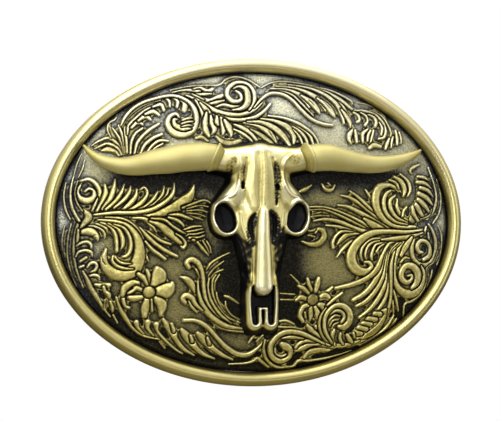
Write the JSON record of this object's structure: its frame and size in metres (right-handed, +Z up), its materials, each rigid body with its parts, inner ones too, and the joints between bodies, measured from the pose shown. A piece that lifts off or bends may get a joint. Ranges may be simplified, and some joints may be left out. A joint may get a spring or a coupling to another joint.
{
  "type": "belt buckle",
  "caption": "Oval western dress belt buckle: antiqued brass plate with applied scrollwork, a raised longhorn skull and a smooth rim, with a hinged bail and a leaning hook behind.",
  "frame": {"origin": "centre of the oval in the plane of the rim's back, where the front of the belt lies", "axes": "+X to the right of someone facing the decorated side, +Z up as worn, +Y backwards into the belt; the decorated face looks along -Y"},
  "size_m": [0.098, 0.0214, 0.075],
  "materials": {
    "ground": "antiqued dark, stippled matt",
    "relief": "antiqued brass, dark in the recesses",
    "rim": "satin, worn bright on the crest",
    "skull": "polished highlights over dark antiquing",
    "horns": "satin",
    "cuffs": "satin",
    "hardware": "satin",
    "pins": "brushed",
    "screws": "brushed"
  },
  "bodies": {
    "buckle": {"base_plate": "ground", "rim": "rim", "steer_skull": "skull", "left_horn": "horns", "right_horn": "horns", "left_horn_cuff": "cuffs", "right_horn_cuff": "cuffs", "upper_skull_screw": "screws", "lower_skull_screw": "screws", "upper_hinge_lug": "hardware", "lower_hinge_lug": "hardware", "upper_hinge_pin": "pins", "lower_hinge_pin": "pins", "hook_base": "hardware", "hook_post": "hardware", "upper_left_scroll": "relief", "top_scroll": "relief", "upper_right_spray": "relief", "crown_leaves": "relief", "left_acanthus": "relief", "left_edge_fronds": "relief", "right_acanthus": "relief", "right_fronds": "relief", "lower_left_spray": "relief", "lower_leaf_fan": "relief", "bottom_scroll": "relief", "lower_right_scroll": "relief", "left_flower": "relief", "right_flower": "relief"},
    "bail": {"bail": "hardware"}
  },
  "joints": [
    {"name": "bail_pivot", "type": "hinge", "parent": "buckle", "child": "bail", "pos_m": [0.017, 0.0055, 0], "axis": [0, 0, 1], "range_deg": [-10, 175]}
  ]
}
